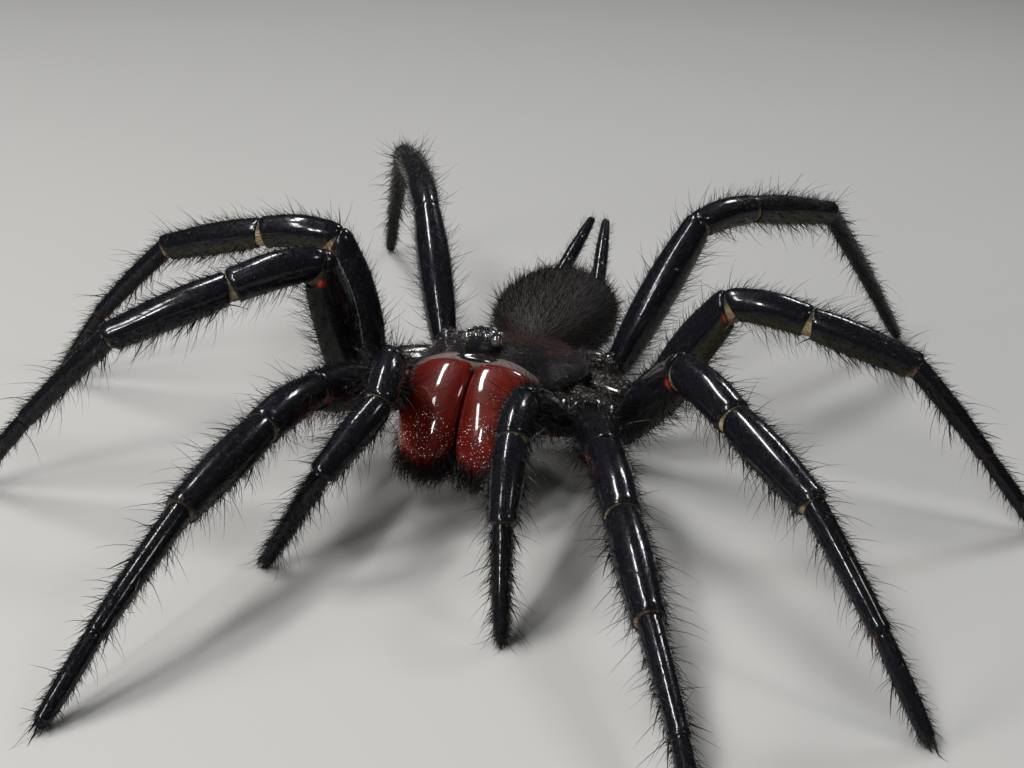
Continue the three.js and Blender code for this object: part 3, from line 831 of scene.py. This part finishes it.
def jawRule(side):
    plan = jawPlan
    marks = np.linspace(0, 1, 200)
    slopes = np.radians(np.interp(marks, (0, 0.35, 0.7, 1), plan["slopes"]))
    step = plan["length"] / len(marks)
    paths = np.cumsum(np.cos(slopes)) * step, np.cumsum(np.sin(slopes)) * step

    def rule(place, ring, across, above):
        reach = (1 - place) / 2
        tilt = np.interp(reach, marks, slopes)
        forward, drop = (np.interp(reach, marks, path) for path in paths)
        # the inner sides meet in a shallow groove, fullest near the root
        inner = smooth(-0.35, 0.5, -across * side)
        upper = smooth(-0.2, 0.6, place)
        blunt = ring ** blended(0.45, blended(0.2, 0.16, inner), upper)
        lower = smooth(0.4, 1, reach)
        depth = blended(plan["depth"], plan["tipDepth"], smooth(0.25, 1, reach)) / 2
        deep = depth * blunt * squared(above, blended(0.8, blended(0.75, 0.6, inner), upper))
        full = blended(0.95, blended(1.0, 0.75, inner), upper)
        wide = plan["width"] / 2 * blended(1, 0.86, lower) * blunt * squared(across, full)
        x = blended(plan["root"][0], plan["tipOut"], lower) + wide * side
        x = x - plan["crest"] * blended(1, 0.4, lower) * np.maximum(above, 0) ** 1.5 * blunt
        x = plan["midline"] + np.logaddexp(0, (x - plan["midline"]) * 18) / 18
        y = plan["root"][1] - forward - deep * np.sin(tilt)
        z = plan["root"][2] - drop + deep * np.cos(tilt)
        return np.stack([side * x, y, z], axis=-1)
    return rule


def fangRule(side):
    plan = fangPlan

    def rule(place, ring, across, above):
        reach = (place + 1) / 2
        turn = np.radians(blended(plan["from"], plan["to"], reach))
        thick = blended(plan["rootRadius"], plan["tipRadius"], reach) * ring**0.6
        radius = plan["bend"] - thick * above
        y = plan["hub"][0] - radius * np.cos(turn)
        z = plan["hub"][1] - radius * np.sin(turn)
        return np.stack([side * plan["out"] + thick * across, y, z], axis=-1)
    return rule


def makeJawFinish():
    finish = Finish("redJaw", {
        "IOR": 1.45, "Coat Roughness": 0.08, "Coat IOR": 1.4, "Specular IOR Level": 0.06,
    })
    ridge = finish.mask("ridge")
    lower = finish.mask("lower")
    mottle = finish.noise(0.7, 4)
    fine = finish.noise(13, 3)
    dots = 1 - finish.cells(5.2, 0.1, 0.19).lesser(finish.cells(8.3, 0.1, 0.18))
    red = finish.mixed(finish.between(mottle, 0.3, 0.7), (0.048, 0.0011, 0.0007), (0.088, 0.0055, 0.0014))
    dust = finish.between(finish.noise(5, 4), 0.35, 0.7) * 0.7
    dustAndGlints = finish.mixed(ridge * dust, red, (0.055, 0.01, 0.01))
    # white specks on the pits, gathered in clusters along the jaw: painted glints
    glintClusters = finish.mask("glintBand") * 0.4 + ridge * 0.2 + finish.noise(2.1, 4, 0.7) * 0.9
    pitGlints = dots * finish.between(glintClusters, 0.62, 0.86)
    dustAndGlints = finish.mixed(pitGlints, dustAndGlints, (1.0, 0.9, 0.86))
    finish.colour(finish.mixed(lower, dustAndGlints, (0.01, 0.0007, 0.0007)))
    finish.rough(0.22 + fine * 0.12 + lower * 0.25)
    finish.coat(0.85 - 0.85 * finish.between(lower, 0.0, 0.3))
    finish.relief(finish.noise(2.2, 3) * 0.016 + fine * 0.02 + dots * 0.022)
    return finish


def makeFangFinish():
    finish = Finish("fangHorn", {"IOR": 1.55, "Specular IOR Level": 0.6})
    streaks = finish.noise(3, 3, 0.5, (4, 1, 1))
    tone = finish.mask("place") * 0.5 + streaks * 0.3
    finish.colour(finish.mixed(tone, (0.006, 0.004, 0.004), (0.05, 0.008, 0.005)))
    finish.rough(0.12 + streaks * 0.12)
    finish.relief(streaks * 0.006)
    return finish


def makeMouthSkinFinish():
    finish = Finish("mouthSkin", {"Specular IOR Level": 0.45})
    wrinkles = finish.noise(4.5, 3, 0.6, (2.4, 0.7, 0.7))
    arc = finish.mixed(wrinkles, (0.032, 0.017, 0.013), (0.08, 0.05, 0.042))
    groove = finish.mixed(wrinkles, (0.02, 0.006, 0.003), (0.06, 0.02, 0.012))
    finish.colour(finish.mixed(finish.mask("cleft"), arc, groove))
    finish.rough(0.38 + wrinkles * 0.2)
    finish.relief(wrinkles * 0.05)
    return finish


def jawFields(side):
    return {
        "ridge": lambda place, across, above: bump(across, 0.05 * side, 0.45) * (above > 0),
        "lower": lambda place, across, above: 1 - smooth(-0.96, -0.62, place),
        # the band along the jaw where the painted glints on the pits gather
        "glintBand": lambda place, across, above: bump(place, -0.5, 0.3),
    }


def mouthSkinRule(place, ring, across, above):
    points = ovalRule(mouthSkinPlan, 0.5)(place, ring, across, above)
    points[..., 2] -= mouthSkinPlan["dip"] * bump(points[..., 0], 0, 0.75) * (above > 0)
    return points


jawFinish = makeJawFinish()
fangFinish = makeFangFinish()
jawSurfaces = []
for side, sign in sides.items():
    jawSurfaces.append(mouldedSurface(90, 96, wholeSheet, jawRule(sign), **jawFields(sign)))
    jaw = meshFromSurfaces(f"jaw_{side}", jawSurfaces[-1:], [jawFinish], ("ridge", "lower", "glintBand"))
    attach(jaw, "root")
    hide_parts(f"chelicera_{side}")
    fangSurface = mouldedSurface(48, 32, wholeSheet, fangRule(sign))
    fang = meshFromSurfaces(f"fang_horn_{side}", [fangSurface], [fangFinish], ("place",))
    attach(fang, "root")
    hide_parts(f"fang_{side}")

mouthSurface = mouldedSurface(60, 96, wholeSheet, mouthSkinRule)
mouthSurface["fields"]["cleft"] = bump(mouthSurface["points"][..., 0] - bodyShift[0], 0, 0.85)
mouthSkin = meshFromSurfaces("mouth_skin", [mouthSurface], [makeMouthSkinFinish()], ("cleft",))
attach(mouthSkin, "root")
print("stage: jaws and fangs")


# Eye mound and eyes

eyePlan = {
    "mound": {"width": 2.1, "length": 1.5, "height": 0.85, "middle": (0, -4.9, 2.4)},
    # out, along, up, radius, paleness
    "eyes": {
        "frontEye": (0.27, -5.4, 2.9, 0.22, 0.0),
        "sideEye": (0.78, -5.3, 2.74, 0.3, 0.1),
        "rearSideEye": (0.82, -4.75, 2.86, 0.22, 0.15),
        "rearEye": (0.44, -4.6, 3.06, 0.18, 0.25),
    },
}


def moundRule(place, ring, across, above):
    plan = eyePlan["mound"]
    size = np.array([plan["width"] / 2, plan["length"] / 2, plan["height"]])
    points = np.stack([ring**0.85 * across, place, ring**0.85 * above], axis=-1) * size + plan["middle"]
    for out, along, up, radius, _ in eyePlan["eyes"].values():
        for sign in sides.values():
            gap = np.linalg.norm(points - (sign * out, along, up), axis=-1)
            points[..., 2] += 0.09 * bump(gap, radius * 1.15, 0.07)
    return points


def makeMoundFinish():
    finish = Finish("eyeMoundShell", {"IOR": 1.55, "Specular IOR Level": 0.06, "Coat Roughness": 0.06})
    fine = finish.noise(9, 3)
    finish.colour(finish.mixed(fine, (0.003, 0.003, 0.004), (0.012, 0.012, 0.015)))
    finish.rough(0.08 + fine * 0.1)
    finish.coat(finish.between(finish.noise(3, 3), 0.4, 0.6) * 0.9)
    finish.relief(fine * 0.015 + finish.noise(4.5, 2) * 0.11)
    return finish


def makeLensFinish():
    finish = Finish("eyeLens", {"IOR": 1.6, "Coat Roughness": 0.1, "Coat IOR": 1.8})
    pale = finish.mask("pale")
    cloud = finish.noise(6, 2)
    finish.colour(finish.mixed(pale * (0.6 + cloud * 0.4), (0.004, 0.004, 0.006), (0.42, 0.36, 0.3)))
    finish.rough(0.08 + cloud * 0.06)
    finish.coat(0.9 + cloud * 0.1)
    return finish


def lensSurface(sign, number, centre, radius, pale):
    def rule(place, ring, across, above):
        return np.stack([ring * across, place, ring * above], axis=-1) * radius * 1.02 + centre
    patch = (0.02 + 0.12 * number, 0.05 if sign > 0 else 0.55, 0.1, 0.1)
    return mouldedSurface(20, 24, patch, rule, pale=pale)


moundSurface = mouldedSurface(60, 72, wholeSheet, moundRule)
mound = meshFromSurfaces("eye_mound", [moundSurface], [makeMoundFinish()], ())
lensSurfaces = [
    lensSurface(sign, number, (sign * out, along, up), radius, pale)
    for sign in sides.values()
    for number, (out, along, up, radius, pale) in enumerate(eyePlan["eyes"].values())
]
lenses = meshFromSurfaces("eye_lenses", lensSurfaces, [makeLensFinish()], ("pale",))
for piece in (mound, lenses):
    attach(piece, "root")
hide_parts("eyes_left", "eyes_right")
print("stage: eyes")


# Hair

# Density is in hairs per square mm, length and radius in mm, lean in degrees; rings are a rod's rings
# of points and corners the points of each.
Coat = namedtuple("Coat", "density length lean spread curl radius rings corners seed finish slot")
rodPlan = {"sink": 0.03, "floorGap": 0.01, "unwrap": 0.003, "taper": 1.6, "curls": (0.4, 1.3),
           "radii": (0.75, 1.25)}


# Roots on surfaces, spread by a density that is worked out from their fields.
def plantRoots(surfaces, density, dice):
    kept = []
    for surface in surfaces:
        points = surface["points"]
        rows, columns = points.shape[:2]
        beside = np.roll(points, -1, axis=1)
        area = np.linalg.norm(np.cross(points[1:] - points[:-1], (beside - points)[:-1]), axis=2)
        weight = np.broadcast_to(density(surface["fields"]), (rows, columns))[:-1] * area
        total = weight.sum()
        count = int(round(total))
        if count == 0:
            continue
        marks = (np.arange(count) + dice.random(count)) * (total / count)
        cell = np.searchsorted(np.cumsum(weight.ravel()), marks).clip(0, weight.size - 1)
        i, j = np.divmod(cell, columns)
        s, t = dice.random((2, count, 1))
        k = (j + 1) % columns

        def lerped(grid, second):
            low = blended(grid[i, j], grid[i + 1, j], s)
            return blended(low, blended(grid[i, second], grid[i + 1, second], s), t)
        roots = {key: lerped(surface[key], k) for key in ("points", "normals", "along")}
        roots["uv"] = lerped(surface["uv"], j + 1)
        kept.append(roots)
    return {key: np.concatenate([roots[key] for roots in kept]) for key in kept[0]}


# Each hair is a closed, tapering rod that bends. Lie is the way that it points along the surface.
def growHair(name, roots, lie, coat):
    dice = np.random.default_rng(coat.seed)
    count = len(roots["points"])
    normal = unit(roots["normals"])
    lean = np.radians(dice.uniform(*coat.lean, count))[:, None]
    lie = unit(lie + dice.normal(0, coat.spread, (count, 3)))
    lie = unit(lie - normal * (lie * normal).sum(1, keepdims=True))
    heading = lie * np.cos(lean) + normal * np.sin(lean)
    length = dice.uniform(*coat.length, count)[:, None, None]
    curl = (lie - normal) * coat.curl * dice.uniform(*rodPlan["curls"], (count, 1))
    rings, corners, slot = coat.rings, coat.corners, coat.slot
    share = np.linspace(0, 1, rings + 1)[None, :, None]
    start = roots["points"] - normal * rodPlan["sink"]
    centre = start[:, None] + length * (heading[:, None] * share + curl[:, None] * share**2)
    tangent = unit(heading[:, None] + 2 * curl[:, None] * share)
    side = unit(np.cross(tangent, normal[:, None] + 0.3 * lie[:, None]))
    top = np.cross(side, tangent)
    thick = coat.radius * dice.uniform(*rodPlan["radii"], (count, 1, 1)) * (1 - share ** rodPlan["taper"])
    turn = 2 * np.pi * np.arange(corners) / corners
    rods = centre[:, :, None] + thick[..., None] * (
        np.cos(turn)[:, None] * side[:, :, None] + np.sin(turn)[:, None] * top[:, :, None])
    points = np.concatenate([rods[:, :-1].reshape(count, -1, 3), centre[:, -1:]], axis=1)
    points[..., 2] = np.maximum(points[..., 2], rodPlan["floorGap"])
    perHair = rings * corners + 1
    edges = [(corner, (corner + 1) % corners) for corner in range(corners)]
    faces = []
    for low in range(0, (rings - 1) * corners, corners):
        high = low + corners
        faces += [(low + first, low + second, high + second, high + first) for first, second in edges]
    last = (rings - 1) * corners
    faces += [(last + first, last + second, perHair - 1) for first, second in edges]
    faces.append(tuple(reversed(range(corners))))
    pattern = np.array([corner for face in faces for corner in face])
    loops = (np.arange(count)[:, None] * perHair + pattern).ravel()
    sizes = np.tile([len(face) for face in faces], count)
    across = np.concatenate([np.tile(np.arange(corners) / (corners - 1) - 0.5, rings), [0.0]])
    along = np.concatenate([np.repeat(np.arange(rings) / rings, corners), [1.0]]) - 0.5
    uv = roots["uv"][:, None] + rodPlan["unwrap"] * np.stack([across, along], axis=1)
    tip = np.broadcast_to(along + 0.5, (count, perHair))
    uv = uv.reshape(-1, 2)[loops]
    thing = meshObject(name, points.reshape(-1, 3), loops, sizes, [coat.finish], uv, {"tip": tip})
    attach(thing, "root")
    print("stage:", name, count, "hairs,", count * sum(len(face) - 2 for face in faces), "triangles")


# A rule takes a density and the fields of a surface and gives the density at each of its points.
def growCoat(name, surfaces, coat, rule=lambda dense, at: dense, lie=lambda roots: roots["along"]):
    dice = np.random.default_rng(coat.seed + 100)
    roots = plantRoots(surfaces, lambda fields: rule(coat.density, fields), dice)
    growHair(name, roots, lie(roots), coat)


def makeHairFinish(name, root, tip, roughness, shine=0.25):
    finish = Finish(name, {"IOR": 1.45, "Specular IOR Level": shine})
    mottle = finish.noise(0.8, 3)
    finish.colour(finish.mixed(finish.mask("tip") * 0.7 + mottle * 0.3, root, tip))
    finish.rough(roughness + mottle * 0.1)
    finish.relief(finish.noise(30, 2) * 0.002)
    return finish


dark = makeHairFinish("darkHair", (0.002, 0.002, 0.0025), (0.008, 0.006, 0.005), 0.14)
brown = makeHairFinish("brownHair", (0.002, 0.0017, 0.0015), (0.012, 0.008, 0.006), 0.34)
silver = makeHairFinish("silverHair", (0.005, 0.005, 0.005), (0.05, 0.05, 0.055), 0.18, 0.9)
furry = makeHairFinish("abdomenHair", (0.0015, 0.0012, 0.001), (0.008, 0.005, 0.004), 0.3, 0.1)
horn = makeHairFinish("spineHorn", (0.003, 0.003, 0.004), (0.02, 0.014, 0.012), 0.16)

# Limbs' densities are for coxa, trochanter, femur, patella, tibia, metatarsus, tarsus and palp's tarsus.
limbHair = {
    "shortHair": Coat((3, 3, 6, 12, 18, 24, 28, 46), (0.25, 0.6), (22, 50), 0.3, 0.14, 0.018, 2, 3, 11,
                      dark, "dark_hair"),
    "standingHair": Coat((2, 2, 5, 8, 12, 11, 11, 20), (0.4, 1.1), (42, 80), 0.45, 0.22, 0.015, 3, 3, 12,
                         dark, "dark_hair"),
    "fringeHair": Coat((3, 3, 10, 8, 6, 3, 0, 4), (0.9, 2.1), (45, 80), 0.35, 0.25, 0.013, 3, 3, 13,
                       brown, "dark_hair"),
    "longHair": Coat((0.2, 0.3, 0.7, 0.9, 1.3, 1.0, 0.3, 0.6), (1.2, 2.5), (50, 75), 0.3, 0.18, 0.016, 4, 3,
                     14, dark, "dark_hair"),
    "hipHair": Coat((5, 5, 1.5, 0.5, 0, 0, 0, 0), (0.3, 0.7), (12, 45), 0.45, 0.15, 0.013, 3, 3, 16,
                    silver, "silver_hair"),
    "palpSilver": Coat((14, 14, 4, 0, 7, 0, 0, 8), (0.8, 1.8), (30, 60), 0.35, 0.12, 0.016, 3, 3, 18,
                       silver, "silver_hair"),
    "spines": Coat((0, 0, 0.03, 0.05, 0.7, 1.1, 0.3, 1.0), (0.8, 1.6), (25, 50), 0.15, 0.12, 0.042, 4, 5, 15,
                   horn, "dark_hair"),
}
palpKneeDensity = 9


# two smooth stripes run along the top of patella and tibia
def bareBands(at):
    striped = (at["kind"] == kindCodes["patella"]) | (at["kind"] == kindCodes["tibia"])
    return 1 - 0.92 * striped * (bump(np.abs(at["across"]), 0.42, 0.13) * (at["above"] > 0))


def standingRule(dense, at):
    edges = 0.35 + 1.1 * bump(at["above"], 1, 0.4) + 0.5 * bump(at["above"], -1, 0.6)
    return dense * bareBands(at) * edges


def longRule(dense, at):
    knee = at["palp"] * bump(at["place"], 0.9, 0.25) * (at["kind"] == kindCodes["femur"])
    knee = knee * palpKneeDensity * bump(at["above"], 0.8, 0.5)
    return dense + knee * (1 - at["soft"])


limbRules = {
    "shortHair": lambda dense, at: dense * bareBands(at),
    "standingHair": standingRule,
    "fringeHair": lambda dense, at: dense * bump(at["above"], -0.85, 0.45),
    "longHair": longRule,
    "hipHair": lambda dense, at: dense * (at["above"] > -0.3),
    "palpSilver": lambda dense, at: dense * at["palp"] * bump(at["above"], -0.3, 0.5),
    "spines": lambda dense, at: dense * (bump(at["above"], -0.75, 0.5) + 0.12),
}


def byKind(rule):
    def kindRule(densities, at):
        return rule(np.asarray(densities)[at["kind"].astype(int)] * (1 - at["soft"]), at)
    return kindRule


for side in sides:
    sideLimbs = [surface for chain, surface in zip(chains, limbSurfaces) if chain["side"] == side]
    for kind, coat in limbHair.items():
        growCoat(f"{kind}_{side}", sideLimbs, coat, byKind(limbRules[kind]))


# Two small claws at the end of each leg, one on a palp. They aren't spread by a density.
clawPlan = {"apart": 0.13, "above": 0.12, "ahead": 0.1}
clawCoat = Coat(0, (0.55, 0.65), (8, 16), 0.05, 0.3, 0.055, 5, 6, 17, horn, "fang_black")


def clawRoots():
    spots = []
    for chain in chains:
        side, along, top = segmentAxes(*chain["joints"][-2:], chain["rise"])
        middle = chain["joints"][-1] + along * clawPlan["ahead"]
        for across in ((0,) if chain["pair"] == "palp" else (-1, 1)):
            spots.append((middle + side * across * clawPlan["apart"] + top * clawPlan["above"], top, along))
    points, normals, along = (np.array(column) for column in zip(*spots))
    uv = np.stack([np.linspace(0.05, 0.95, len(spots)), np.full(len(spots), 0.995)], axis=1)
    return {"points": points, "normals": normals, "along": along, "uv": uv}


roots = clawRoots()
growHair("claws", roots, roots["along"], clawCoat)

bodyHair = {
    "abdomenCoat": Coat(26, (0.45, 0.85), (28, 50), 0.3, 0.15, 0.018, 2, 3, 21, furry, "abdomen_coat"),
    "abdomenLongHair": Coat(6, (0.9, 1.7), (45, 75), 0.35, 0.2, 0.015, 3, 3, 22, furry, "abdomen_coat"),
    "spinneretHair": Coat(16, (0.35, 0.8), (35, 65), 0.3, 0.2, 0.011, 2, 3, 25, dark, "spinneret_black"),
}
for name, coat in bodyHair.items():
    growCoat(name, spinnerets if name == "spinneretHair" else [abdomenSurface], coat)

carapaceHair = {
    "silverCoat": Coat(5, (0.4, 0.8), (6, 18), 0.25, 0.05, 0.013, 2, 3, 31, silver, "silver_hair"),
    "carapaceBristles": Coat(2.4, (0.35, 0.8), (35, 70), 0.5, 0.2, 0.014, 3, 3, 32, dark, "dark_hair"),
}


def silverRule(dense, at):
    flanks = smooth(0.25, 0.6, np.abs(at["across"])) + smooth(-0.1, 0.4, at["place"])
    flanks = flanks * smooth(-0.95, -0.7, at["place"])
    return dense * (at["above"] > 0.02) * flanks.clip(0, 1)


def awayFromPit(roots):
    return unit(roots["points"] - fromBody((0, carapacePlan["pitPlace"], carapacePlan["chest"])))


carapaceRules = {"silverCoat": silverRule, "carapaceBristles": lambda dense, at: dense * (at["above"] > 0)}
for name, coat in carapaceHair.items():
    growCoat(name, [carapaceSurface], coat, carapaceRules[name], awayFromPit)

jawHair = {
    "jawBristles": Coat(1.5, (0.4, 0.9), (25, 60), 0.5, 0.3, 0.014, 4, 3, 41, dark, "dark_hair"),
    "jawFringe": Coat(80, (0.6, 1.6), (30, 65), 0.4, 0.25, 0.02, 3, 3, 42, dark, "dark_hair"),
    "jawSilver": Coat(3.5, (0.7, 1.8), (20, 60), 0.4, 0.25, 0.018, 3, 3, 43, silver, "silver_hair"),
}


def fringeRule(dense, at):
    outer = smooth(0.0, 0.9, np.abs(at["across"]))
    end = 1 - smooth(-0.93, -0.7 + 0.2 * outer, at["place"])
    below = (1 - smooth(-0.5, 0.2, at["above"])) * (1 - smooth(-0.5, 0.3, at["place"])) * 0.6
    return dense * np.maximum(end, below)


def bristleRule(dense, at):
    return dense * (at["place"] < 0.8)


for name, coat in jawHair.items():
    rule = bristleRule if name == "jawBristles" else fringeRule
    growCoat(name, jawSurfaces, coat, rule, lambda roots: -roots["along"])
